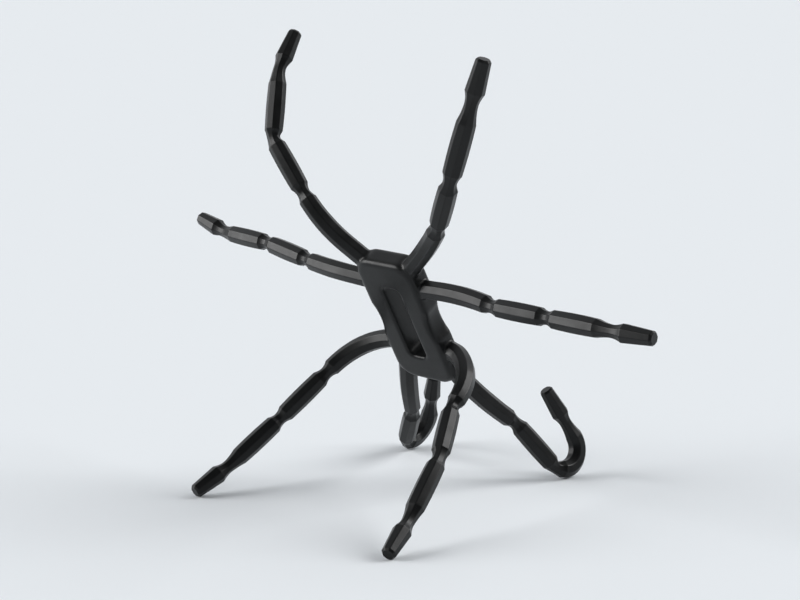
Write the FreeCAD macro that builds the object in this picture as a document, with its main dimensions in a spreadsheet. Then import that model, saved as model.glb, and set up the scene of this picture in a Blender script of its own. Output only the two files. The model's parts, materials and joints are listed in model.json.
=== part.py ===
"""Bendable eight-legged phone stand: a slotted rubber hub, eight necked rubber legs and the wires
that hold their bends. Lengths are millimetres, angles are degrees."""
import FreeCAD, Part
import os
import Sketcher
from math import cos, radians, sin
from FreeCAD import Placement, Rotation, Vector

SIDES = 8                    # every leg has eight flats
CORNER = 180 / SIDES         # from the middle of a flat to its corner
FACET_ERROR = 0.02           # when the stand's box is measured
OUTPUT = "parts"

SIZES = {
    # hub plate, with its long slot
    "hub_width": 23.0,
    "hub_height": 48.0,
    "hub_thickness": 7.5,
    "hub_corner": 6.0,
    "hub_edge_round": 1.6,
    "waist_radius": 16.0,
    "waist_depth": 1.2,
    "slot_width": 7.0,
    "slot_length": 28.0,
    "slot_corner": 2.0,
    "slot_lip": 0.7,
    # stance of the hub
    "hub_lean": 58.0,
    "hub_roll": -2.5,
    # where the legs leave the hub: across and up from its middle, and the way they point
    "top_across": 11.5,
    "top_up": 23.4,
    "top_exit": 43.0,
    "upper_across": 13.6,
    "upper_up": 13.4,
    "upper_exit": 3.0,
    "lower_across": 13.8,
    "lower_up": -12.0,
    "lower_exit": -6.0,
    "bottom_across": 11.1,
    "bottom_up": -23.4,
    "bottom_exit": -69.0,
    "boss_length": 6.0,
    "boss_land": 1.6,
    "boss_flats": 6.8,
    # leg links, each measured from hinge to hinge
    "root_length": 26.0,
    "inner_length": 21.0,
    "outer_length": 23.0,
    "foot_length": 14.5,
    "leg_flats": 5.7,
    "root_tail": 4.0,
    "neck_flats": 3.7,
    "neck_half": 0.9,
    "neck_flare_flats": 4.25,
    "neck_flare_length": 0.8,
    "shoulder_length": 1.0,
    "long_neck_flats": 3.3,
    "long_neck_half": 1.7,
    "long_flare_flats": 3.95,
    "long_flare_length": 1.5,
    "long_shoulder_length": 1.4,
    "foot_base_flats": 5.5,
    "foot_end_flats": 4.3,
    "foot_face_flats": 3.3,
    "foot_chamfer": 0.6,
    # room in the hinges
    "neck_gap": 0.25,
    "hub_gap": 0.3,
    # bend-holding wires
    "wire_diameter": 1.6,
    "wire_gap": 0.05,
    "wire_bend_room": 0.15,
    "wire_end_cover": 4.0,
    "wire_inset": 5.0,
    "wire_top_up": 18.8,
    "wire_upper_up": 16.2,
    "wire_lower_up": -16.2,
    "wire_bottom_up": -19.4,
}

# How each leg is bent: (turn, roll) at each place. A roll of 0 bends it to the back of the hub,
# 180 to the front and 90 to the hub's lower end.
BENDS = {
    "top_left": {
        "hub_joint": (0, 180),
        "root_arc": (21, 180),
        "first_neck": (4, 157),
        "second_neck": (32, -151),
        "long_neck": (18, -178),
    },
    "top_right": {
        "hub_joint": (0, 180),
        "root_arc": (11, -25),
        "first_neck": (16, -140),
        "second_neck": (28, -157),
        "long_neck": (2, -163),
    },
    "upper_left": {
        "hub_joint": (0, 180),
        "root_arc": (12, 154),
        "first_neck": (4, -73),
        "second_neck": (6, 53),
        "long_neck": (11, -124),
    },
    "upper_right": {
        "hub_joint": (0, 180),
        "root_arc": (11, 20),
        "first_neck": (9, -164),
        "second_neck": (2, -43),
        "long_neck": (7, 144),
    },
    "lower_left": {
        "hub_joint": (16, 20),
        "root_arc": (54, 10),
        "first_neck": (4, 162),
        "second_neck": (20.5, -28),
        "long_neck": (6, -85),
    },
    "lower_right": {
        "hub_joint": (34, -5),
        "root_arc": (51, 2),
        "first_neck": (19, 177),
        "second_neck": (14, 17),
        "long_neck": (12, -101),
    },
    "bottom_left": {
        "hub_joint": (0, 180),
        "root_arc": (7.8, -174),
        "first_neck": (12, -63),
        "second_neck": (39, 166),
        "hook_arc": (134, 180),
        "long_neck": (0, 33),
    },
    "bottom_right": {
        "hub_joint": (14, 157),
        "root_arc": (8.05, -142),
        "first_neck": (18, -19),
        "second_neck": (41, 166),
        "hook_arc": (135, 180),
        "long_neck": (0, 33),
    },
}

doc = FreeCAD.newDocument("bendable_stand")
sheet = doc.addObject("Spreadsheet::Sheet", "sizes")


def fill_sheet():
    """Write every driving size and bend into the sheet under its own alias."""
    rows = dict(SIZES)
    for leg, bends in BENDS.items():
        for place, (turn, roll) in bends.items():
            rows[f"{leg}_{place}_turn"] = turn
            rows[f"{leg}_{place}_roll"] = roll
    for number, (alias, value) in enumerate(rows.items(), start=1):
        sheet.set(f"A{number}", str(value))
        sheet.setAlias(f"A{number}", alias)
    doc.recompute()


def size(alias):
    return float(sheet.get(alias))


def corner_radius(flats):
    """Expression for an octagon's corner radius, from its width across flats."""
    return f"({flats}) / (2 * cos({CORNER}))"


def octagon(name, flats, height):
    """Octagon across the link's axis at a height along it; flats and height are expressions."""
    ring = doc.addObject("Part::RegularPolygon", name)
    ring.Polygon = SIDES
    ring.setExpression("Circumradius", corner_radius(flats))
    ring.Placement = Placement(Vector(), Rotation(Vector(0, 0, 1), CORNER))
    ring.setExpression("Placement.Base.z", height)
    return ring


def octagon_loft(name, sections):
    """Eight-sided solid through sections given as (width across flats, height) expressions."""
    body = doc.addObject("Part::Loft", name)
    body.Sections = [
        octagon(f"{name}_section_{number}", flats, height)
        for number, (flats, height) in enumerate(sections)
    ]
    body.Solid = True
    body.Ruled = True
    return body


def cut(name, base, tool):
    result = doc.addObject("Part::Cut", name)
    result.Base = base
    result.Tool = tool
    return result


def cut_in_turn(name, base, tools):
    for number, tool in enumerate(tools, start=1):
        base = cut(f"{name}_cut_{number}", base, tool)
    return base


def fuse(name, pieces):
    result = doc.addObject("Part::MultiFuse", name)
    result.Shapes = pieces
    result.Refine = True
    return result


def hinge_axis(roll):
    """Hinge line of a bend, in the frame of the link before it."""
    return Vector(-sin(radians(roll)), cos(radians(roll)), 0)


def hinge_cylinder(name, radius, roll):
    """Cylinder along the hinge line through the origin, longer than any neck is wide."""
    roller = doc.addObject("Part::Cylinder", name)
    roller.setExpression("Radius", radius)
    roller.setExpression("Height", "2 * sizes.boss_flats")
    axis = hinge_axis(roll)
    roller.Placement = Placement(axis * -size("boss_flats"), Rotation(Vector(0, 0, 1), axis))
    return roller


def cupped(name, blank, flats, gap, roll):
    """Hollow the start of a link, so that it turns round the knuckle before it."""
    radius = f"{corner_radius(flats)} + {gap}"
    return cut(name, blank, hinge_cylinder(f"{name}_hollow", radius, roll))


def knuckled(name, blank, flats, roll):
    """Round off what stands past the hinge at the origin, to a knuckle about the hinge line."""
    block = doc.addObject("Part::Box", f"{name}_block")
    block.setExpression("Length", "2 * sizes.boss_flats")
    block.setExpression("Width", "2 * sizes.boss_flats")
    block.setExpression("Height", "sizes.boss_flats")
    block.setExpression("Placement.Base.x", "-sizes.boss_flats")
    block.setExpression("Placement.Base.y", "-sizes.boss_flats")
    roller = hinge_cylinder(f"{name}_roller", corner_radius(flats), roll)
    return cut(name, blank, cut(f"{name}_waste", block, roller))


def arc_frame(length, turn, roll):
    """Frame at the end of an arc that starts at the origin along +Z."""
    radius = length / radians(turn)
    aside = radius * (1 - cos(radians(turn)))
    direction = Vector(cos(radians(roll)), sin(radians(roll)), 0)
    end = direction * aside + Vector(0, 0, radius * sin(radians(turn)))
    return Placement(end, Rotation(hinge_axis(roll), turn))


def bend_frame(turn, roll):
    return Placement(Vector(), Rotation(hinge_axis(roll), turn))


def step_frame(length):
    return Placement(Vector(0, 0, length), Rotation())


def arc_shaft(name, start, length, turn, roll):
    """Octagonal bar bent to an arc, from a height along +Z; start and length are expressions."""
    spine = doc.addObject("Part::Circle", f"{name}_spine")
    spine.setExpression("Radius", f"({length}) * 180 / (pi * sizes.{turn})")
    spine.Angle1 = 0
    spine.setExpression("Angle2", f"sizes.{turn}")
    inward = Vector(cos(radians(roll)), sin(radians(roll)), 0)
    along = Vector(0, 0, 1)
    spine.Placement = Placement(Vector(), Rotation(-inward, along, hinge_axis(roll), "ZXY"))
    spine.setExpression("Placement.Base.x", f"{inward.x} * Radius")
    spine.setExpression("Placement.Base.y", f"{inward.y} * Radius")
    spine.setExpression("Placement.Base.z", start)
    shaft = doc.addObject("Part::Sweep", name)
    shaft.Sections = [octagon(f"{name}_section", "sizes.leg_flats", start)]
    shaft.Spine = (spine, ["Edge1"])
    shaft.Solid = True
    return shaft


# How far half a neck reaches from its hinge: to where it flares, to its shoulder, to the full width
SHORT_FLARE = "(sizes.neck_half + sizes.neck_flare_length)"
SHORT_END = f"({SHORT_FLARE} + sizes.shoulder_length)"
LONG_FLARE = "(sizes.long_neck_half + sizes.long_flare_length)"
LONG_END = f"({LONG_FLARE} + sizes.long_shoulder_length)"


def short_tail(name):
    """Start of a link: half of a short hollowed neck, up to the full width."""
    return octagon_loft(name, [
        ("sizes.neck_flats", "0"),
        ("sizes.neck_flats", "sizes.neck_half"),
        ("sizes.neck_flare_flats", SHORT_FLARE),
        ("sizes.leg_flats", SHORT_END),
    ])


def short_head(name, roll):
    """End of a link before a short neck, with its hinge at the origin."""
    blank = octagon_loft(f"{name}_blank", [
        ("sizes.leg_flats", f"-{SHORT_END}"),
        ("sizes.neck_flare_flats", f"-{SHORT_FLARE}"),
        ("sizes.neck_flats", "-sizes.neck_half"),
        ("sizes.neck_flats", corner_radius("sizes.neck_flats")),
    ])
    return knuckled(name, blank, "sizes.neck_flats", roll)


def long_head(name, roll):
    """End of an outer link before the long neck, with its hinge at the origin."""
    blank = octagon_loft(f"{name}_blank", [
        ("sizes.leg_flats", f"-{LONG_END}"),
        ("sizes.long_flare_flats", f"-{LONG_FLARE}"),
        ("sizes.long_neck_flats", "-sizes.long_neck_half"),
        ("sizes.long_neck_flats", corner_radius("sizes.long_neck_flats")),
    ])
    return knuckled(name, blank, "sizes.long_neck_flats", roll)


def short_end():
    return size("neck_half") + size("neck_flare_length") + size("shoulder_length")


def long_end():
    return size("long_neck_half") + size("long_flare_length") + size("long_shoulder_length")


def root_arc_length():
    return size("root_length") - size("root_tail") - short_end()


def hook_arc_length():
    return size("outer_length") - short_end() - long_end()


def root_link(name, leg, roll_before, arc_roll, roll_after):
    """Curved link from the hub to the first neck; returns it with the frame of its far hinge."""
    tail = octagon_loft(f"{name}_tail", [
        ("sizes.leg_flats", "0"),
        ("sizes.leg_flats", "sizes.root_tail"),
    ])
    length = f"sizes.root_length - sizes.root_tail - {SHORT_END}"
    turn = f"{leg}_root_arc_turn"
    shaft = arc_shaft(f"{name}_shaft", "sizes.root_tail", length, turn, arc_roll)
    end = step_frame(size("root_tail")) * arc_frame(root_arc_length(), size(turn), arc_roll)
    end = end * step_frame(short_end())
    head = short_head(f"{name}_head", roll_after)
    head.Placement = end
    bar = fuse(f"{name}_bar", [tail, shaft, head])
    return cupped(f"{name}_solid", bar, "sizes.leg_flats", "sizes.hub_gap", roll_before), end


def inner_link(name, roll_before, roll_after):
    """Straight link between the two short necks."""
    tail = short_tail(f"{name}_tail")
    shaft = octagon_loft(f"{name}_shaft", [
        ("sizes.leg_flats", SHORT_END),
        ("sizes.leg_flats", f"sizes.inner_length - {SHORT_END}"),
    ])
    end = step_frame(size("inner_length"))
    head = short_head(f"{name}_head", roll_after)
    head.Placement = end
    bar = fuse(f"{name}_bar", [tail, shaft, head])
    return cupped(f"{name}_solid", bar, "sizes.neck_flats", "sizes.neck_gap", roll_before), end


def outer_link(name, roll_before, roll_after):
    """Straight link from the second neck to the long neck."""
    tail = short_tail(f"{name}_tail")
    shaft = octagon_loft(f"{name}_shaft", [
        ("sizes.leg_flats", SHORT_END),
        ("sizes.leg_flats", f"sizes.outer_length - {LONG_END}"),
    ])
    end = step_frame(size("outer_length"))
    head = long_head(f"{name}_head", roll_after)
    head.Placement = end
    bar = fuse(f"{name}_bar", [tail, shaft, head])
    return cupped(f"{name}_solid", bar, "sizes.neck_flats", "sizes.neck_gap", roll_before), end


def hook_link(name, leg, roll_before, arc_roll, roll_after):
    """Outer link of a bottom leg, bent round to a hook."""
    tail = short_tail(f"{name}_tail")
    length = f"sizes.outer_length - {SHORT_END} - {LONG_END}"
    turn = f"{leg}_hook_arc_turn"
    shaft = arc_shaft(f"{name}_shaft", SHORT_END, length, turn, arc_roll)
    end = step_frame(short_end()) * arc_frame(hook_arc_length(), size(turn), arc_roll)
    end = end * step_frame(long_end())
    head = long_head(f"{name}_head", roll_after)
    head.Placement = end
    bar = fuse(f"{name}_bar", [tail, shaft, head])
    return cupped(f"{name}_solid", bar, "sizes.neck_flats", "sizes.neck_gap", roll_before), end


def foot(name, roll_before):
    """Tapered foot past the long neck, with a flat chamfered end."""
    blank = octagon_loft(f"{name}_blank", [
        ("sizes.long_neck_flats", "0"),
        ("sizes.long_neck_flats", "sizes.long_neck_half"),
        ("sizes.long_flare_flats", LONG_FLARE),
        ("sizes.foot_base_flats", LONG_END),
        ("sizes.foot_end_flats", "sizes.foot_length - sizes.foot_chamfer"),
        ("sizes.foot_face_flats", "sizes.foot_length"),
    ])
    return cupped(f"{name}_solid", blank, "sizes.long_neck_flats", "sizes.neck_gap", roll_before)


def hub_frame():
    """The hub's own frame: X across, Y up along the plate, Z out of its back."""
    lean = Rotation(Vector(1, 0, 0), 180 - size("hub_lean"))
    roll = Rotation(Vector(0, 0, 1), size("hub_roll"))
    return Placement(Vector(), lean * roll)


def exit_frame(leg):
    """Frame of a leg's hub hinge: Z along the leg, X out of the hub's back."""
    level, side = leg.split("_")
    sign = -1 if side == "left" else 1
    angle = radians(size(f"{level}_exit"))
    along = Vector(sign * cos(angle), sin(angle), 0)
    out = Vector(0, 0, 1)
    place = Vector(sign * size(f"{level}_across"), size(f"{level}_up"), 0)
    return hub_frame() * Placement(place, Rotation(out, along.cross(out), along, "ZXY"))


def bend_of(leg, place):
    """Turn and roll of a bend; rolls are mirrored on the left legs."""
    sign = -1 if leg.endswith("left") else 1
    return size(f"{leg}_{place}_turn"), sign * size(f"{leg}_{place}_roll")


def line_edge(start, end):
    return Part.LineSegment(start, end).toShape()


def arc_line(frame, end, lead, length, turn, roll):
    """Middle line of a curved link: a straight lead, an arc and the straight rest to its end."""
    start = frame * step_frame(lead)
    middle = start * arc_frame(length / 2, turn / 2, roll)
    finish = start * arc_frame(length, turn, roll)
    arc = Part.Arc(start.Base, middle.Base, finish.Base).toShape()
    last = (frame * end).Base
    return [line_edge(frame.Base, start.Base), arc, line_edge(finish.Base, last)]


def build_leg(leg):
    """Make a leg's four links in place. Returns their solids, their hinges and their middle lines."""
    hub_turn, hub_roll = bend_of(leg, "hub_joint")
    arc_turn, arc_roll = bend_of(leg, "root_arc")
    first_turn, first_roll = bend_of(leg, "first_neck")
    second_turn, second_roll = bend_of(leg, "second_neck")
    long_turn, long_roll = bend_of(leg, "long_neck")
    solids = {}
    lines = {}
    hinges = {}

    before = exit_frame(leg)
    frame = before * bend_frame(hub_turn, hub_roll)
    hinges["hub_joint"] = (before, frame, hub_roll)
    solids["root"], end = root_link(f"leg_{leg}_root", leg, hub_roll, arc_roll, first_roll)
    solids["root"].Placement = frame
    arc = (size("root_tail"), root_arc_length(), arc_turn, arc_roll)
    lines["root"] = arc_line(frame, end, *arc)

    before = frame * end
    frame = before * bend_frame(first_turn, first_roll)
    hinges["first_neck"] = (before, frame, first_roll)
    solids["inner_link"], end = inner_link(f"leg_{leg}_inner_link", first_roll, second_roll)
    solids["inner_link"].Placement = frame
    lines["inner_link"] = [line_edge(frame.Base, (frame * end).Base)]

    before = frame * end
    frame = before * bend_frame(second_turn, second_roll)
    hinges["second_neck"] = (before, frame, second_roll)
    name = f"leg_{leg}_outer_link"
    if "hook_arc" in BENDS[leg]:
        hook_turn, hook_roll = bend_of(leg, "hook_arc")
        solids["outer_link"], end = hook_link(name, leg, second_roll, hook_roll, long_roll)
        lines["outer_link"] = arc_line(frame, end, short_end(), hook_arc_length(), hook_turn, hook_roll)
    else:
        solids["outer_link"], end = outer_link(name, second_roll, long_roll)
        lines["outer_link"] = [line_edge(frame.Base, (frame * end).Base)]
    solids["outer_link"].Placement = frame

    before = frame * end
    frame = before * bend_frame(long_turn, long_roll)
    hinges["long_neck"] = (before, frame, long_roll)
    solids["foot"] = foot(f"leg_{leg}_foot", long_roll)
    solids["foot"].Placement = frame
    wire_end = frame * step_frame(size("foot_length") - size("wire_end_cover"))
    lines["foot"] = [line_edge(frame.Base, wire_end.Base)]
    return solids, hinges, lines


def centred_rectangle(body, name, width, height):
    """Sketch of a rectangle about the body's origin; width and height are expressions."""
    sketch = body.newObject("Sketcher::SketchObject", name)
    plane = [item for item in body.Origin.OriginFeatures if item.Role == "XY_Plane"][0]
    sketch.AttachmentSupport = [(plane, "")]
    sketch.MapMode = "FlatFace"
    corners = [Vector(-1, -1, 0), Vector(1, -1, 0), Vector(1, 1, 0), Vector(-1, 1, 0)]
    for number in range(4):
        sketch.addGeometry(Part.LineSegment(corners[number], corners[(number + 1) % 4]), False)
    for number in range(4):
        join = Sketcher.Constraint("Coincident", number, 2, (number + 1) % 4, 1)
        sketch.addConstraint(join)
    for number, way in enumerate(["Horizontal", "Vertical", "Horizontal", "Vertical"]):
        sketch.addConstraint(Sketcher.Constraint(way, number))
    sketch.addConstraint(Sketcher.Constraint("Symmetric", 0, 1, 2, 1, -1, 1))
    across = sketch.addConstraint(Sketcher.Constraint("DistanceX", 0, 1, 0, 2, 2.0))
    upward = sketch.addConstraint(Sketcher.Constraint("DistanceY", 1, 1, 1, 2, 2.0))
    sketch.setExpression(f"Constraints[{across}]", width)
    sketch.setExpression(f"Constraints[{upward}]", height)
    return sketch


def waist_circles(body):
    """Sketch of the two circles that hollow the hub's long sides."""
    sketch = body.newObject("Sketcher::SketchObject", "hub_waist_sketch")
    plane = [item for item in body.Origin.OriginFeatures if item.Role == "XY_Plane"][0]
    sketch.AttachmentSupport = [(plane, "")]
    sketch.MapMode = "FlatFace"
    reach = size("hub_width") / 2 + size("waist_radius") - size("waist_depth")
    for number, sign in enumerate([-1, 1]):
        centre = Vector(sign * reach, 0, 0)
        circle = Part.Circle(centre, Vector(0, 0, 1), size("waist_radius"))
        sketch.addGeometry(circle, False)
        sketch.addConstraint(Sketcher.Constraint("PointOnObject", number, 3, -1))
        radius = sketch.addConstraint(Sketcher.Constraint("Radius", number, size("waist_radius")))
        away = Sketcher.Constraint("DistanceX", -1, 1, number, 3, sign * reach)
        offset = sketch.addConstraint(away)
        sketch.setExpression(f"Constraints[{radius}]", "sizes.waist_radius")
        place = "sizes.hub_width / 2 + sizes.waist_radius - sizes.waist_depth"
        sketch.setExpression(f"Constraints[{offset}]", f"{sign} * ({place})")
    return sketch


def pocket(body, name, sketch):
    """Cut a sketch right through the plate."""
    feature = body.newObject("PartDesign::Pocket", name)
    feature.Profile = sketch
    feature.Type = "ThroughAll"
    feature.Midplane = True
    doc.recompute()
    return feature


def edges_where(feature, test):
    return [
        f"Edge{number}"
        for number, edge in enumerate(feature.Shape.Edges, start=1)
        if test(edge)
    ]


def rounded(body, name, base, edges, radius):
    fillet = body.newObject("PartDesign::Fillet", name)
    fillet.Base = (base, edges)
    fillet.setExpression("Radius", radius)
    doc.recompute()
    return fillet


def upright(edge):
    """True for an edge along the plate's thickness."""
    first, last = edge.Vertexes[0].Point, edge.Vertexes[-1].Point
    return abs((last - first).z) > 0.9 * size("hub_thickness")


def on_slot(edge):
    """True for an edge on the wall of the slot."""
    box = edge.BoundBox
    margin = 0.1
    across = max(abs(box.XMin), abs(box.XMax)) < size("slot_width") / 2 + margin
    return across and max(abs(box.YMin), abs(box.YMax)) < size("slot_length") / 2 + margin


def on_rim(edge):
    """True for an edge that lies in the plate's front or back face."""
    box = edge.BoundBox
    flat = box.ZMax - box.ZMin < 0.01
    return flat and abs(abs(box.ZMax) - size("hub_thickness") / 2) < 0.01


def hub_plate():
    """Rounded, waisted plate with its long slot."""
    body = doc.addObject("PartDesign::Body", "hub_plate")
    pad = body.newObject("PartDesign::Pad", "hub_pad")
    pad.Profile = centred_rectangle(body, "hub_outline", "sizes.hub_width", "sizes.hub_height")
    pad.Midplane = True
    pad.setExpression("Length", "sizes.hub_thickness")
    doc.recompute()
    tip = rounded(body, "hub_corners", pad, edges_where(pad, upright), "sizes.hub_corner")
    tip = pocket(body, "hub_waist", waist_circles(body))
    slot = centred_rectangle(body, "slot_outline", "sizes.slot_width", "sizes.slot_length")
    tip = pocket(body, "hub_slot", slot)
    ends = edges_where(tip, lambda edge: upright(edge) and on_slot(edge))
    tip = rounded(body, "slot_corners", tip, ends, "sizes.slot_corner")
    lips = edges_where(tip, lambda edge: on_rim(edge) and on_slot(edge))
    tip = rounded(body, "slot_lips", tip, lips, "sizes.slot_lip")
    rims = edges_where(tip, lambda edge: on_rim(edge) and not on_slot(edge) and outside(edge))
    tip = rounded(body, "hub_rims", tip, rims, "sizes.hub_edge_round")
    body.Placement = hub_frame()
    return body


def outside(edge):
    """True for an edge of the plate's outline, clear of the slot and its lip."""
    middle = edge.valueAt((edge.FirstParameter + edge.LastParameter) / 2)
    lip = 2 * size("slot_lip")
    past_side = abs(middle.x) > size("slot_width") / 2 + lip
    return past_side or abs(middle.y) > size("slot_length") / 2 + lip


def boss(leg):
    """Tapered stub on the hub that carries a leg, ending in the hub hinge's knuckle."""
    name = f"boss_{leg}"
    blank = octagon_loft(f"{name}_blank", [
        ("sizes.boss_flats", "-sizes.boss_length"),
        ("sizes.leg_flats", "-sizes.boss_land"),
        ("sizes.leg_flats", corner_radius("sizes.leg_flats")),
    ])
    turn, roll = bend_of(leg, "hub_joint")
    stub = knuckled(name, blank, "sizes.leg_flats", roll)
    stub.Placement = exit_frame(leg)
    return stub


def path_feature(name, edges):
    path = doc.addObject("Part::Feature", name)
    path.Shape = Part.Wire(edges)
    return path


def hub_crossing(level):
    """Middle line of a wire inside the hub, from the left leg's hinge to the right one's."""
    left = exit_frame(f"{level}_left").Base
    right = exit_frame(f"{level}_right").Base
    height = size(f"wire_{level}_up")
    left_inside = hub_frame() * Vector(-size("wire_inset"), height, 0)
    right_inside = hub_frame() * Vector(size("wire_inset"), height, 0)
    return [
        line_edge(left, left_inside),
        line_edge(left_inside, right_inside),
        line_edge(right_inside, right),
    ]


def reverse_edges(edges):
    """The same line, run from its far end."""
    turned = [Part.Edge(edge.Curve.copy(), edge.FirstParameter, edge.LastParameter) for edge in edges]
    for edge in turned:
        edge.reverse()
    return turned[::-1]


def round_bar(name, edges, diameter):
    """Round bar along a line, with its corners rounded; diameter is an expression."""
    spine = path_feature(f"{name}_path", edges)
    start, second = [vertex.Point for vertex in spine.Shape.OrderedVertexes[:2]]
    ring = doc.addObject("Part::Circle", f"{name}_section")
    ring.setExpression("Radius", f"({diameter}) / 2")
    ring.Placement = Placement(start, Rotation(Vector(0, 0, 1), second - start))
    bar = doc.addObject("Part::Sweep", name)
    bar.Sections = [ring]
    bar.Spine = (spine, [f"Edge{number}" for number in range(1, len(edges) + 1)])
    bar.Solid = True
    bar.Transition = "Round corner"
    return bar


BORE_DIAMETER = "sizes.wire_diameter + 2 * sizes.wire_gap"


def bend_room(name, after):
    """Hollow for a wire where it bends inside a knuckle: a ball, and a bore along the next link."""
    ball = doc.addObject("Part::Sphere", f"{name}_ball")
    ball.setExpression("Radius", f"({BORE_DIAMETER}) / 2 + sizes.wire_bend_room")
    ball.Placement = Placement(after.Base, Rotation())
    way = doc.addObject("Part::Cylinder", f"{name}_way")
    way.setExpression("Radius", f"({BORE_DIAMETER}) / 2")
    way.setExpression("Height", "sizes.boss_flats")
    way.Placement = after
    return [ball, way]


LEVELS = ["top", "upper", "lower", "bottom"]
NEXT_HINGE = {"root": "first_neck", "inner_link": "second_neck", "outer_link": "long_neck"}

fill_sheet()
finished = {}
all_hinges = {}
leg_lines = {}
for leg in BENDS:
    solids, hinges, lines = build_leg(leg)
    all_hinges[leg] = hinges
    leg_lines[leg] = sum(lines.values(), [])
    for kind, solid in solids.items():
        node = f"leg_{leg}_{kind}"
        hollows = [round_bar(f"{node}_bore", lines[kind], BORE_DIAMETER)]
        if kind in NEXT_HINGE:
            before, after, roll = hinges[NEXT_HINGE[kind]]
            hollows += bend_room(f"{node}_room", after)
        finished[node] = cut_in_turn(node, solid, hollows)

hub = fuse("hub_solid", [hub_plate()] + [boss(leg) for leg in BENDS])
for level in LEVELS:
    crossing = hub_crossing(level)
    hollows = [round_bar(f"hub_{level}_bore", crossing, BORE_DIAMETER)]
    for side in ("left", "right"):
        before, after, roll = all_hinges[f"{level}_{side}"]["hub_joint"]
        hollows += bend_room(f"hub_{level}_{side}_room", after)
    hub = cut_in_turn(f"hub_{level}_wired", hub, hollows)
    whole = reverse_edges(leg_lines[f"{level}_left"]) + crossing + leg_lines[f"{level}_right"]
    finished[f"wire_{level}"] = round_bar(f"wire_{level}", whole, "sizes.wire_diameter")
finished["hub"] = hub
doc.recompute()


def check():
    """Stop before anything is written if an object failed or a piece is not a sound solid."""
    for item in doc.Objects:
        if "Invalid" in item.State or "Error" in item.State:
            raise RuntimeError(f"{item.Name} failed: {item.State}")
    for node, item in finished.items():
        shape = item.Shape
        if shape.isNull() or not shape.isValid() or len(shape.Solids) != 1:
            raise RuntimeError(f"{node} is not one sound solid")


def ground_offset():
    """Shift that puts the middle of the stand's footprint box, on the ground, at the origin."""
    box = FreeCAD.BoundBox()
    for item in finished.values():
        for point in item.Shape.tessellate(FACET_ERROR)[0]:
            box.add(point)
    return Vector(-box.Center.x, -box.Center.y, -box.ZMin)


check()
shift = ground_offset()
for node, item in finished.items():
    item.Label = node
    item.Placement = Placement(shift, Rotation()) * item.Placement
doc.recompute()
check()

os.makedirs(OUTPUT, exist_ok=True)
for node, item in finished.items():
    item.Shape.exportStep(f"{OUTPUT}/{node}.step")

for leg, hinges in all_hinges.items():
    for place, (before, after, roll) in hinges.items():
        point = before.Base + shift
        axis = before.Rotation * hinge_axis(roll)
        print("hinge", leg, place, *[round(value, 4) for value in (*point, *axis)])
print("hub", *[round(value, 4) for value in shift])
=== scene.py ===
"""Dresses the stand: continuous rubber skins over its hub, links and necks, on a pale floor.

Lengths are millimetres until a mesh is made, angles are degrees.
"""
import json
import math
import bmesh
import bpy
from mathutils import Matrix, Vector


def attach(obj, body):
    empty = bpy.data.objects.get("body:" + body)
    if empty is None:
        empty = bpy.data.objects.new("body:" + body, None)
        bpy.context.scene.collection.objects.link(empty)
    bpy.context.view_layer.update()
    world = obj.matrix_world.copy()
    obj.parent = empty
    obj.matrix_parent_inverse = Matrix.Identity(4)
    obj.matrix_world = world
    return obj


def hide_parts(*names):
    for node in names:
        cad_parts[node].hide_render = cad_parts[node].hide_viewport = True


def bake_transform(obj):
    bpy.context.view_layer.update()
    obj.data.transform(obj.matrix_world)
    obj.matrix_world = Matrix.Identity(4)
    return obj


MM = 0.001

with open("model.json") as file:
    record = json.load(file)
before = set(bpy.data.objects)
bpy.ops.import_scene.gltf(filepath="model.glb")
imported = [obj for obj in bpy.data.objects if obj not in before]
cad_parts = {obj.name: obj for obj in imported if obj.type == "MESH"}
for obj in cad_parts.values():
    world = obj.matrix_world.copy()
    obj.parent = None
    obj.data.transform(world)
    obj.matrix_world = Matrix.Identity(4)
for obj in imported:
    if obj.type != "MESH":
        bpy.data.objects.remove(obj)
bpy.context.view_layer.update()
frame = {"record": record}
joints = {joint["name"]: joint for joint in frame["record"]["behaviour"]["joints"]}

# Sizes shared with the solids: the hub
HUB_WIDTH = 23.0
HUB_HEIGHT = 48.0
HUB_THICKNESS = 7.5
HUB_CORNER = 6.0
HUB_EDGE_ROUND = 1.6
WAIST_RADIUS = 16.0
WAIST_DEPTH = 1.2
SLOT_WIDTH = 7.0
SLOT_LENGTH = 28.0
SLOT_CORNER = 2.0
SLOT_LIP = 0.7
HUB_LEAN = 58.0
HUB_ROLL = -2.5

# Where a leg leaves the hub, in the hub's own frame: across, up and angle
EXITS = {
    "top": (11.5, 23.4, 43.0),
    "upper": (13.6, 13.4, 3.0),
    "lower": (13.8, -12.0, -6.0),
    "bottom": (11.1, -23.4, -69.0),
}

# Legs and wires
BOSS_LENGTH = 6.0
BOSS_FLATS = 6.8
BOSS_LAND = 1.6
ROOT_LENGTH = 26.0
INNER_LENGTH = 21.0
OUTER_LENGTH = 23.0
FOOT_LENGTH = 14.5
LEG_FLATS = 5.7
ROOT_TAIL = 4.0
SHORT_END = 2.7
LONG_END = 4.6
FOOT_BASE_FLATS = 5.5
FOOT_END_FLATS = 4.3
FOOT_FACE_FLATS = 3.3
FOOT_CHAMFER = 0.6
WIRE_RADIUS = 0.8
WIRE_END_COVER = 4.0
WIRE_INSET = 5.0
WIRE_UP = {"top": 18.8, "upper": 16.2, "lower": -16.2, "bottom": -19.4}

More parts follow.
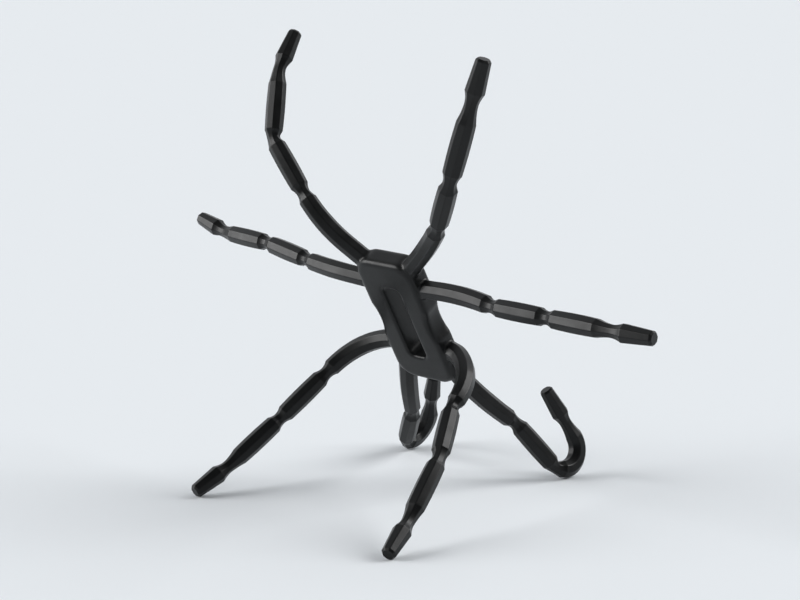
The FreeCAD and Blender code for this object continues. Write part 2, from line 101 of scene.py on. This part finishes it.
# Bends of each leg as (turn, roll): hub joint, root arc, first neck, second neck, hook, long neck
BENDS = {
    "top_left": ((0, 180), (21, 180), (4, 157), (32, -151), (0, 0), (18, -178)),
    "top_right": ((0, 180), (11, -25), (16, -140), (28, -157), (0, 0), (2, -163)),
    "upper_left": ((0, 180), (12, 154), (4, -73), (6, 53), (0, 0), (11, -124)),
    "upper_right": ((0, 180), (11, 20), (9, -164), (2, -43), (0, 0), (7, 144)),
    "lower_left": ((16, 20), (54, 10), (4, 162), (20.5, -28), (0, 0), (6, -85)),
    "lower_right": ((34, -5), (51, 2), (19, 177), (14, 17), (0, 0), (12, -101)),
    "bottom_left": ((0, 180), (7.8, -174), (12, -63), (39, 166), (134, 180), (0, 33)),
    "bottom_right": ((14, 157), (8.05, -142), (18, -19), (41, 166), (135, 180), (0, 33)),
}

# Skin detail
FACET_EDGE = 0.4             # rounding of the eight long edges
LINK_SWELL = 0.3             # how much narrower a link is at its shoulders than at its middle
FLAT_SHARE = 0.88            # part of each flat that stays dead flat
SHOULDER_ROUND = 0.14        # how far shoulders and chamfers are rounded along the leg
SHORT_NECK = 3.9             # flats of the necks' skin, which runs over the knuckles inside
LONG_NECK = 3.8
SHORT_HOLLOW = 1.9           # how late a neck widens towards its shoulders
LONG_HOLLOW = 1.8
NARROWEST_SHIFT = 1.0        # the long neck is narrowest this far past its hinge
SHOULDER_REACH = 0.3         # rings are closest this near to a shoulder
SHOULDER_STEP = 0.1          # from ring to ring: at shoulders, in necks, round hooks and elsewhere
NECK_STEP = 0.3
HOOK_STEP = 0.6
CALM_STEP = 1.5
BEND_REACH = {"hub_joint": 3.2, "first_neck": 1.9, "second_neck": 1.9, "long_neck": 2.4}
SHOULDER_SAMPLES = 9
LEG_SIDES = 8
WIRE_SIDES = 8
HUB_VOXEL = 0.32             # grain at which the hub's plate and stubs run together
HUB_SMOOTHING = 14
HUB_SOFTNESS = 0.5
STUB_END = -1.0              # where a stub of the hub ends inside its leg
STUB_SHY = 0.1               # how much narrower it is than the leg's skin there
OUTLINE_POINTS = 160
CORNER_STEPS = 10
EDGE_STEPS = 6

# Materials: noise scales per metre, and the part of a noise's range that is used
RUBBER_IOR = 1.33
RUBBER_DARK = (0.0045, 0.0049, 0.0050, 1)
RUBBER_PALE = (0.0075, 0.0081, 0.0083, 1)
RUBBER_RAMP = (0.3, 0.72)
RUBBER_ROUGHNESS = (0.28, 0.38)
CLOUD_SCALE = 85
SMUDGE_SCALE = 240
GRAIN_SCALE = 3600
GRAIN_STRENGTH = 0.12
GRAIN_DEPTH = 0.05
STEEL_COLOUR = (0.55, 0.55, 0.54, 1)
STEEL_ROUGHNESS = (0.25, 0.4)
DRAWN_SCALE = 1800
NOISE_RANGE = (0.3, 0.7)

# Stage, with directions from the stand, strengths and widths of the lamps
TABLE_COLOUR = (0.77, 0.80, 0.825, 1)
TABLE_REACH = 12000.0
LEFT_PANEL = ((-0.69, -0.63, 0.36), 2.9, 44)
RIGHT_PANEL = ((0.51, 0.66, 0.57), 2.2, 40)
AIR_COLOUR = (0.95, 0.97, 1.0, 1)
AIR_PALE_SIDE = (-0.67, 0.74, 0)
AIR_FADE = (-0.2, 0.8)
AIR_STRENGTH = (0.12, 0.75)
CAMERA_LENS = 89.0
CAMERA_SENSOR = 36.0
CAMERA_FROM_HUB = (406.3, -448.3, 116.5)
CAMERA_PITCH = 90 - 10.43
CAMERA_YAW = 42.5
CAMERA_NEAR = 10.0


def turn_about(axis, degrees):
    return Matrix.Rotation(math.radians(degrees), 4, axis)


def hinge_axis(roll):
    return Vector((-math.sin(math.radians(roll)), math.cos(math.radians(roll)), 0))


def step(length):
    return Matrix.Translation((0, 0, length))


def arc(length, turn, roll):
    """Frame at the end of an arc that starts at the origin along +Z."""
    if turn == 0:
        return step(length)
    angle = math.radians(turn)
    radius = length / angle
    heading = math.radians(roll)
    aside = radius * (1 - math.cos(angle))
    end = Vector((aside * math.cos(heading), aside * math.sin(heading), radius * math.sin(angle)))
    return Matrix.Translation(end) @ turn_about(hinge_axis(roll), turn)


def exit_in_hub(leg):
    """Frame of a leg's hub joint inside the hub's own frame."""
    level, side = leg.split("_")
    sign = -1 if side == "left" else 1
    across, up, angle = EXITS[level]
    angle = math.radians(angle)
    along = Vector((sign * math.cos(angle), math.sin(angle), 0))
    out = Vector((0, 0, 1))
    columns = Matrix((out, along.cross(out), along)).transposed().to_4x4()
    return Matrix.Translation((sign * across, up, 0)) @ columns


def hub_placement():
    """The hub's frame in the scene, set by where the record has one of its joints."""
    turned = turn_about((1, 0, 0), 180 - HUB_LEAN) @ turn_about((0, 0, 1), HUB_ROLL)
    place = Vector(joints["top_left_hub_joint"]["pos_m"]) / MM
    return Matrix.Translation(place - turned @ exit_in_hub("top_left").translation) @ turned


HUB = hub_placement()


class Link:
    """A leg's link: straight lead, optional arc and straight rest, along its own +Z."""

    def __init__(self, place, lead, arc_length, turn, roll):
        self.place = place
        self.lead = lead
        self.arc_length = arc_length
        self.turn = turn
        self.roll = roll

    def at(self, z):
        """Frame of the link's middle line at a distance along it."""
        if self.turn == 0 or z <= self.lead:
            return self.place @ step(z)
        along = min(z - self.lead, self.arc_length)
        bend = arc(along, self.turn * along / self.arc_length, self.roll)
        return self.place @ step(self.lead) @ bend @ step(z - self.lead - along)


def leg_links(leg):
    """The leg's four links in place, and its four hinges as (frame before, turn, roll)."""
    sign = -1 if leg.endswith("left") else 1
    hub, root, first, second, hook, long = [(turn, sign * roll) for turn, roll in BENDS[leg]]
    links = []
    hinges = []
    before = HUB @ exit_in_hub(leg)
    shapes = (
        (hub, ROOT_LENGTH, ROOT_TAIL, ROOT_LENGTH - ROOT_TAIL - SHORT_END, root),
        (first, INNER_LENGTH, 0, 0, (0, 0)),
        (second, OUTER_LENGTH, SHORT_END, OUTER_LENGTH - SHORT_END - LONG_END, hook),
        (long, FOOT_LENGTH, 0, 0, (0, 0)),
    )
    for (turn, roll), length, lead, arc_length, (arc_turn, arc_roll) in shapes:
        hinges.append((before, turn, roll))
        place = before @ turn_about(hinge_axis(roll), turn)
        links.append(Link(place, lead, arc_length, arc_turn, arc_roll))
        before = links[-1].at(length)
    return links, hinges


PLACES = ("hub_joint", "first_neck", "second_neck", "long_neck")
FIRST = ROOT_LENGTH
SECOND = FIRST + INNER_LENGTH
LONG = SECOND + OUTER_LENGTH
END = LONG + FOOT_LENGTH
HINGES_AT = (0.0, FIRST, SECOND, LONG)
SEAMS_AT = (-BOSS_LENGTH, ROOT_LENGTH / 2, FIRST + INNER_LENGTH / 2, SECOND + OUTER_LENGTH / 2, END)

# Necks as (first shoulder, narrowest place, last shoulder), flats at these three, and hollow
SHOULDER_FLATS = LEG_FLATS - LINK_SWELL
SHORT_NECK_FLATS = (SHOULDER_FLATS, SHORT_NECK, SHOULDER_FLATS)
LONG_NECK_FLATS = (SHOULDER_FLATS, LONG_NECK, FOOT_BASE_FLATS)
NECKS = (
    ((FIRST - SHORT_END, FIRST, FIRST + SHORT_END), SHORT_NECK_FLATS, SHORT_HOLLOW),
    ((SECOND - SHORT_END, SECOND, SECOND + SHORT_END), SHORT_NECK_FLATS, SHORT_HOLLOW),
    ((LONG - LONG_END, LONG + NARROWEST_SHIFT, LONG + LONG_END), LONG_NECK_FLATS, LONG_HOLLOW),
)
LINK_SPANS = (
    (FIRST + SHORT_END, SECOND - SHORT_END),
    (SECOND + SHORT_END, LONG - LONG_END),
)

# Width across flats between the necks, from inside the hub to the end of the foot
PROFILE = (
    (-BOSS_LENGTH, BOSS_FLATS),
    (-BOSS_LAND, LEG_FLATS),
    (FIRST / 2, LEG_FLATS),
    (FIRST - SHORT_END, SHOULDER_FLATS),
    (LONG + LONG_END, FOOT_BASE_FLATS),
    (END - FOOT_CHAMFER, FOOT_END_FLATS),
    (END, FOOT_FACE_FLATS),
)
SHOULDERS = [place for (low, narrowest, high), flats, hollow in NECKS for place in (low, high)]
SHOULDERS += [-BOSS_LAND, END - FOOT_CHAMFER]


def sharp_flats(s):
    """Width across flats at a distance along a leg, with sharp shoulders."""
    for (low, narrowest, high), (before, least, after), hollow in NECKS:
        if low < s < narrowest:
            return least + (before - least) * ((narrowest - s) / (narrowest - low)) ** hollow
        if narrowest <= s < high:
            return least + (after - least) * ((s - narrowest) / (high - narrowest)) ** hollow
    for low, high in LINK_SPANS:
        if low <= s <= high:
            off_middle = (2 * s - low - high) / (high - low)
            return LEG_FLATS - LINK_SWELL * off_middle ** 2
    if s <= PROFILE[0][0]:
        return PROFILE[0][1]
    for (start, first), (end, last) in zip(PROFILE, PROFILE[1:]):
        if s <= end:
            return first + (last - first) * (s - start) / (end - start)
    return PROFILE[-1][1]


def soft_flats(s):
    """Width across flats with its shoulders rounded, by averaging the sharp profile nearby."""
    reach = min(SHOULDER_ROUND, max(END - s, 0.0))
    total = 0.0
    for number in range(SHOULDER_SAMPLES):
        total += sharp_flats(s + reach * (2 * number / (SHOULDER_SAMPLES - 1) - 1))
    return total / SHOULDER_SAMPLES


def ring_step(s, hooked):
    """How far the next ring of points is from the one at a distance along a leg."""
    if any(abs(s - shoulder) < SHOULDER_REACH for shoulder in SHOULDERS):
        return SHOULDER_STEP
    in_neck = any(low < s < high for (low, narrowest, high), flats, hollow in NECKS)
    if in_neck or abs(s) < BEND_REACH["hub_joint"]:
        return NECK_STEP
    return HOOK_STEP if hooked and SECOND < s < LONG else CALM_STEP


def ring_places(hooked):
    """Distances along a leg at which its skin has a ring of points."""
    places = set(SEAMS_AT) | set(SHOULDERS)
    s = -BOSS_LENGTH
    while s < END:
        places.add(round(s, 4))
        step_on = ring_step(s, hooked)
        ahead = [shoulder - SHOULDER_REACH for shoulder in SHOULDERS if shoulder - SHOULDER_REACH > s]
        s = min([s + step_on] + [place + SHOULDER_STEP / 2 for place in ahead])
    return sorted(places)


def skin_frame(links, hinges, s):
    """Frame of the leg's middle line at a distance along it, eased round each hinge."""
    for number, (place, (before, turn, roll)) in enumerate(zip(PLACES, hinges)):
        reach = BEND_REACH[place]
        t = s - HINGES_AT[number]
        if abs(t) < reach:
            share = (t + reach) / (2 * reach)
            angle = math.radians(turn)
            lean = math.atan2(share * math.sin(angle), 1 - share + share * math.cos(angle))
            hinge = before.translation
            start = hinge - reach * before.col[2].to_3d()
            after = before @ turn_about(hinge_axis(roll), turn)
            finish = hinge + reach * after.col[2].to_3d()
            point = (1 - share) ** 2 * start + 2 * share * (1 - share) * hinge + share ** 2 * finish
            eased = before @ turn_about(hinge_axis(roll), math.degrees(lean))
            eased.translation = point
            return eased
    number = sum(1 for hinge in HINGES_AT if s >= hinge) - 1
    if number < 0:
        return hinges[0][0] @ step(s)
    return links[number].at(s - HINGES_AT[number])


def octagon_ring(flats):
    """Points of an eight-sided ring with softened edges."""
    half = flats / 2
    half_side = math.pi / LEG_SIDES
    flat_end = math.tan(half_side) * (half - FACET_EDGE)
    corner = (half - FACET_EDGE) / math.cos(half_side) + FACET_EDGE
    points = []
    for side in range(LEG_SIDES):
        facing = 2 * half_side * side
        normal = Vector((math.cos(facing), math.sin(facing), 0))
        along = Vector((-math.sin(facing), math.cos(facing), 0))
        for share in (-1, -FLAT_SHARE, FLAT_SHARE, 1):
            points.append(normal * half + along * flat_end * share)
        edge = facing + half_side
        points.append(Vector((math.cos(edge), math.sin(edge), 0)) * corner)
    return points


def round_ring(radius):
    """Points of a wire's ring."""
    angles = [2 * math.pi * number / WIRE_SIDES for number in range(WIRE_SIDES)]
    return [Vector((math.cos(angle), math.sin(angle), 0)) * radius for angle in angles]


def tube(name, rings, material, capped):
    """Smooth tube through rings of points, with a flat end if it is capped."""
    mesh = bpy.data.meshes.new(name)
    count = len(rings[0])
    points = [point * MM for ring in rings for point in ring]
    faces = []
    for row in range(len(rings) - 1):
        for column in range(count):
            beside = (column + 1) % count
            below = row * count
            above = below + count
            faces.append((below + column, below + beside, above + beside, above + column))
    if capped:
        last = (len(rings) - 1) * count
        faces.append(tuple(range(last, last + count)))
    mesh.from_pydata(points, [], faces)
    mesh.shade_smooth()
    if capped:
        sharpen_cap(mesh, count)
    mesh.materials.append(material)
    piece = bpy.data.objects.new(name, mesh)
    bpy.context.scene.collection.objects.link(piece)
    return piece


def sharpen_cap(mesh, count):
    """Keep the flat end of a tube flat: its rim doesn't share its shading with the sides."""
    last = len(mesh.vertices) - count
    for edge in mesh.edges:
        if edge.vertices[0] >= last and edge.vertices[1] >= last:
            edge.use_edge_sharp = True


def noise(nodes, links, coordinates, scale, detail):
    """A noise that is fixed to its piece."""
    texture = nodes.new("ShaderNodeTexNoise")
    texture.inputs["Scale"].default_value = scale
    texture.inputs["Detail"].default_value = detail
    links.new(coordinates.outputs["Object"], texture.inputs["Vector"])
    return texture


def spread(nodes, links, source, values):
    """Map a noise onto a range of values."""
    mapped = nodes.new("ShaderNodeMapRange")
    mapped.inputs["From Min"].default_value, mapped.inputs["From Max"].default_value = NOISE_RANGE
    mapped.inputs["To Min"].default_value, mapped.inputs["To Max"].default_value = values
    links.new(source, mapped.inputs["Value"])
    return mapped.outputs["Result"]


def rubber_material():
    """Satin black moulded rubber: faint cloudy colour, uneven gloss and a fine eroded grain."""
    material = bpy.data.materials.new("satin_black_rubber")
    material.use_nodes = True
    nodes = material.node_tree.nodes
    links = material.node_tree.links
    shader = nodes["Principled BSDF"]
    shader.inputs["IOR"].default_value = RUBBER_IOR
    coordinates = nodes.new("ShaderNodeTexCoord")

    cloud = noise(nodes, links, coordinates, CLOUD_SCALE, 3)
    colour = nodes.new("ShaderNodeValToRGB")
    colour.color_ramp.elements[0].position = RUBBER_RAMP[0]
    colour.color_ramp.elements[0].color = RUBBER_DARK
    colour.color_ramp.elements[1].position = RUBBER_RAMP[1]
    colour.color_ramp.elements[1].color = RUBBER_PALE
    links.new(cloud.outputs["Fac"], colour.inputs["Fac"])
    links.new(colour.outputs["Color"], shader.inputs["Base Color"])

    smudge = noise(nodes, links, coordinates, SMUDGE_SCALE, 4)
    roughness = spread(nodes, links, smudge.outputs["Fac"], RUBBER_ROUGHNESS)
    links.new(roughness, shader.inputs["Roughness"])

    grain = noise(nodes, links, coordinates, GRAIN_SCALE, 2)
    bump = nodes.new("ShaderNodeBump")
    bump.inputs["Strength"].default_value = GRAIN_STRENGTH
    bump.inputs["Distance"].default_value = GRAIN_DEPTH * MM
    links.new(grain.outputs["Fac"], bump.inputs["Height"])
    links.new(bump.outputs["Normal"], shader.inputs["Normal"])
    return material


def wire_material():
    """Drawn steel wire of an uneven gloss."""
    material = bpy.data.materials.new("drawn_steel_wire")
    material.use_nodes = True
    nodes = material.node_tree.nodes
    links = material.node_tree.links
    shader = nodes["Principled BSDF"]
    shader.inputs["Base Color"].default_value = STEEL_COLOUR
    shader.inputs["Metallic"].default_value = 1.0
    coordinates = nodes.new("ShaderNodeTexCoord")
    drawn = noise(nodes, links, coordinates, DRAWN_SCALE, 2)
    roughness = spread(nodes, links, drawn.outputs["Fac"], STEEL_ROUGHNESS)
    links.new(roughness, shader.inputs["Roughness"])
    return material


RUBBER = rubber_material()
STEEL = wire_material()
LINKS = ("root", "inner_link", "outer_link", "foot")
PIECES = ("hip", "first_neck", "second_neck", "toe")


def blend_over(piece):
    """Bake a piece's placement into its mesh."""
    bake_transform(piece)


def dress_leg(leg):
    """Four lengths of skin, each from the middle of one link to the middle of the next."""
    links, hinges = leg_links(leg)
    places = ring_places(BENDS[leg][4][0] != 0)
    wire_end = END - WIRE_END_COVER
    for number, kind in enumerate(PIECES):
        low, high = SEAMS_AT[number], SEAMS_AT[number + 1]
        spots = [s for s in places if low <= s <= high]
        frames = [skin_frame(links, hinges, s) for s in spots]
        rings = [
            [place @ point for point in octagon_ring(soft_flats(s))]
            for s, place in zip(spots, frames)
        ]
        skin = tube(f"{leg}_{kind}", rings, RUBBER, kind == "toe")
        covered = [f"leg_{leg}_{LINKS[number]}"]
        if number > 0:
            covered.append(f"leg_{leg}_{LINKS[number - 1]}")
        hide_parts(*covered)
        blend_over(skin)

        first = 0.0 if number == 0 else low
        wire_rings = [
            [place @ point for point in round_ring(WIRE_RADIUS)]
            for s, place in zip(spots, frames)
            if first <= s <= wire_end
        ]
        wire = tube(f"{leg}_{kind}_wire", wire_rings, STEEL, kind == "toe")
        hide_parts(f"wire_{leg.split('_')[0]}")
        blend_over(wire)


def hub_wire(level):
    """The stretch of a wire that crosses the hub."""
    left = exit_in_hub(f"{level}_left").translation
    right = exit_in_hub(f"{level}_right").translation
    inside_left = Vector((-WIRE_INSET, WIRE_UP[level], 0))
    inside_right = Vector((WIRE_INSET, WIRE_UP[level], 0))
    route = [left, inside_left, inside_right, right]
    rings = []
    for number, point in enumerate(route):
        near = route[max(number - 1, 0)]
        far = route[min(number + 1, len(route) - 1)]
        facing = (far - near).to_track_quat("Z", "Y").to_matrix().to_4x4()
        place = HUB @ Matrix.Translation(point) @ facing
        rings.append([place @ spot for spot in round_ring(WIRE_RADIUS)])
    wire = tube(f"hub_{level}_wire", rings, STEEL, False)
    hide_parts(f"wire_{level}")
    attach(wire, "hub")


def rounded_outline(half_width, half_height, corner, waist):
    """Points round a rectangle with round corners, its long sides drawn in where waist is set."""
    points = []
    for sign_x, sign_y, start in ((1, 1, 0), (-1, 1, 90), (-1, -1, 180), (1, -1, 270)):
        centre = Vector((sign_x * (half_width - corner), sign_y * (half_height - corner), 0))
        for number in range(CORNER_STEPS + 1):
            angle = math.radians(start + 90 * number / CORNER_STEPS)
            points.append(centre + corner * Vector((math.cos(angle), math.sin(angle), 0)))
    return spaced(points, OUTLINE_POINTS, waist)


def spaced(points, count, waist):
    """The closed outline again with evenly spaced points, and the waist drawn in."""
    lengths = [(b - a).length for a, b in zip(points, points[1:] + points[:1])]
    total = sum(lengths)
    result = []
    for number in range(count):
        left = total * number / count
        index = 0
        while left > lengths[index]:
            left -= lengths[index]
            index += 1
        a = points[index]
        b = points[(index + 1) % len(points)]
        point = a.lerp(b, left / lengths[index])
        if waist:
            inside = WAIST_RADIUS ** 2 - point.y ** 2
            if inside > 0:
                reach = HUB_WIDTH / 2 + WAIST_RADIUS - WAIST_DEPTH - math.sqrt(inside)
                point.x = max(-reach, min(reach, point.x))
        result.append(point)
    return result


def inset(points, distance):
    """Move a closed outline inwards (or outwards, if negative) along its normals."""
    moved = []
    count = len(points)
    for number, point in enumerate(points):
        along = points[(number + 1) % count] - points[number - 1]
        inward = Vector((-along.y, along.x, 0)).normalized()
        moved.append(point + inward * distance)
    return moved


def plate_rings(outline, edge, inwards):
    """Rings of a plate's wall from its front face to its back, with rounded edges."""
    rings = []
    half = HUB_THICKNESS / 2
    for sign in (-1, 1):
        row = []
        for number in range(EDGE_STEPS + 1):
            angle = math.radians(90 * number / EDGE_STEPS)
            depth = edge * (1 - math.cos(angle)) if sign > 0 else edge * (1 - math.sin(angle))
            rise = half - edge + edge * (math.sin(angle) if sign > 0 else math.cos(angle))
            row.append([
                point + Vector((0, 0, sign * rise))
                for point in inset(outline, depth if inwards else -depth)
            ])
        rings += row
    return rings


def add_wall(mesh, rings, flip):
    """Add a closed wall of quads to a bmesh; returns its first and last rows of vertices."""
    rows = [[mesh.verts.new(point) for point in ring] for ring in rings]
    count = len(rows[0])
    for lower, upper in zip(rows, rows[1:]):
        for number in range(count):
            beside = (number + 1) % count
            corners = [lower[number], lower[beside], upper[beside], upper[number]]
            mesh.faces.new(reversed(corners) if flip else corners)
    return rows[0], rows[-1]


def hub_blank():
    """Plate with its slot, and the stubs that the legs grow from, in the hub's own frame."""
    mesh = bmesh.new()
    outer = rounded_outline(HUB_WIDTH / 2, HUB_HEIGHT / 2, HUB_CORNER, True)
    slot = rounded_outline(SLOT_WIDTH / 2, SLOT_LENGTH / 2, SLOT_CORNER, False)
    outer_front, outer_back = add_wall(mesh, plate_rings(outer, HUB_EDGE_ROUND, True), False)
    slot_front, slot_back = add_wall(mesh, plate_rings(slot, SLOT_LIP, False), True)
    count = len(outer_front)
    for number in range(count):
        beside = (number + 1) % count
        mesh.faces.new((outer_front[beside], outer_front[number], slot_front[number], slot_front[beside]))
        mesh.faces.new((outer_back[number], outer_back[beside], slot_back[beside], slot_back[number]))
    for leg in BENDS:
        place = exit_in_hub(leg)
        rings = []
        for z in (-BOSS_LENGTH, STUB_END):
            rings.append([place @ step(z) @ point for point in octagon_ring(sharp_flats(z) - STUB_SHY)])
        low, high = add_wall(mesh, rings, False)
        mesh.faces.new(reversed(low))
        mesh.faces.new(high)
    return mesh


def dress_hub():
    """One moulded skin: plate and stubs run together with soft fillets where they meet."""
    mesh = bpy.data.meshes.new("hub_skin")
    blank = hub_blank()
    blank.to_mesh(mesh)
    blank.free()
    hub = bpy.data.objects.new("hub_skin", mesh)
    bpy.context.scene.collection.objects.link(hub)
    remesh = hub.modifiers.new("run_together", "REMESH")
    remesh.mode = "VOXEL"
    remesh.voxel_size = HUB_VOXEL
    smooth = hub.modifiers.new("soften", "SMOOTH")
    smooth.factor = HUB_SOFTNESS
    smooth.iterations = HUB_SMOOTHING
    graph = bpy.context.evaluated_depsgraph_get()
    finished = bpy.data.meshes.new_from_object(hub.evaluated_get(graph))
    hub.modifiers.clear()
    hub.data = finished
    finished.transform(Matrix.Scale(MM, 4) @ HUB)
    finished.shade_smooth()
    finished.materials.clear()
    finished.materials.append(RUBBER)
    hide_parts("hub")
    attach(hub, "hub")


def add_floor():
    """Pale, matt table top."""
    mesh = bpy.data.meshes.new("floor")
    reach = TABLE_REACH * MM
    corners = [(-reach, -reach, 0), (reach, -reach, 0), (reach, reach, 0), (-reach, reach, 0)]
    mesh.from_pydata(corners, [], [(0, 1, 2, 3)])
    material = bpy.data.materials.new("pale_table")
    material.use_nodes = True
    nodes = material.node_tree.nodes
    links = material.node_tree.links
    matt = nodes.new("ShaderNodeBsdfDiffuse")
    matt.inputs["Color"].default_value = TABLE_COLOUR
    links.new(matt.outputs["BSDF"], nodes["Material Output"].inputs["Surface"])
    mesh.materials.append(material)
    floor = bpy.data.objects.new("floor", mesh)
    bpy.context.scene.collection.objects.link(floor)


def add_lamp(name, toward, strength, width):
    """A broad far-off lamp in a direction from the stand."""
    lamp = bpy.data.lights.new(name, "SUN")
    lamp.energy = strength
    lamp.angle = math.radians(width)
    item = bpy.data.objects.new(name, lamp)
    item.rotation_euler = Vector(toward).to_track_quat("Z", "Y").to_euler()
    bpy.context.scene.collection.objects.link(item)


def add_air():
    """Light from all round, pale on the far side of the stand and dim on the camera's side."""
    world = bpy.data.worlds.new("studio_air")
    world.use_nodes = True
    nodes = world.node_tree.nodes
    links = world.node_tree.links
    coordinates = nodes.new("ShaderNodeTexCoord")
    across = nodes.new("ShaderNodeVectorMath")
    across.operation = "DOT_PRODUCT"
    across.inputs[1].default_value = AIR_PALE_SIDE
    links.new(coordinates.outputs["Generated"], across.inputs[0])
    fade = nodes.new("ShaderNodeMapRange")
    fade.interpolation_type = "SMOOTHSTEP"
    fade.inputs["From Min"].default_value, fade.inputs["From Max"].default_value = AIR_FADE
    fade.inputs["To Min"].default_value, fade.inputs["To Max"].default_value = AIR_STRENGTH
    links.new(across.outputs["Value"], fade.inputs["Value"])
    background = nodes["Background"]
    background.inputs["Color"].default_value = AIR_COLOUR
    links.new(fade.outputs["Result"], background.inputs["Strength"])
    bpy.context.scene.world = world


def add_light():
    """Soft studio light: a broad low panel on the left of the view and a higher one on the right."""
    add_lamp("left_panel", *LEFT_PANEL)
    add_lamp("right_panel", *RIGHT_PANEL)


def add_camera():
    """The photograph's view, fitted to the shape of the stand."""
    camera = bpy.data.cameras.new("camera")
    camera.sensor_width = CAMERA_SENSOR
    camera.lens = CAMERA_LENS
    camera.clip_start = CAMERA_NEAR * MM
    item = bpy.data.objects.new("camera", camera)
    item.location = (HUB.translation + Vector(CAMERA_FROM_HUB)) * MM
    item.rotation_euler = (math.radians(CAMERA_PITCH), 0, math.radians(CAMERA_YAW))
    bpy.context.scene.collection.objects.link(item)
    bpy.context.scene.camera = item


add_camera()
add_air()
add_light()
add_floor()
dress_hub()
for leg in BENDS:
    dress_leg(leg)
for level in EXITS:
    hub_wire(level)

bpy.context.scene.view_settings.view_transform = "Standard"
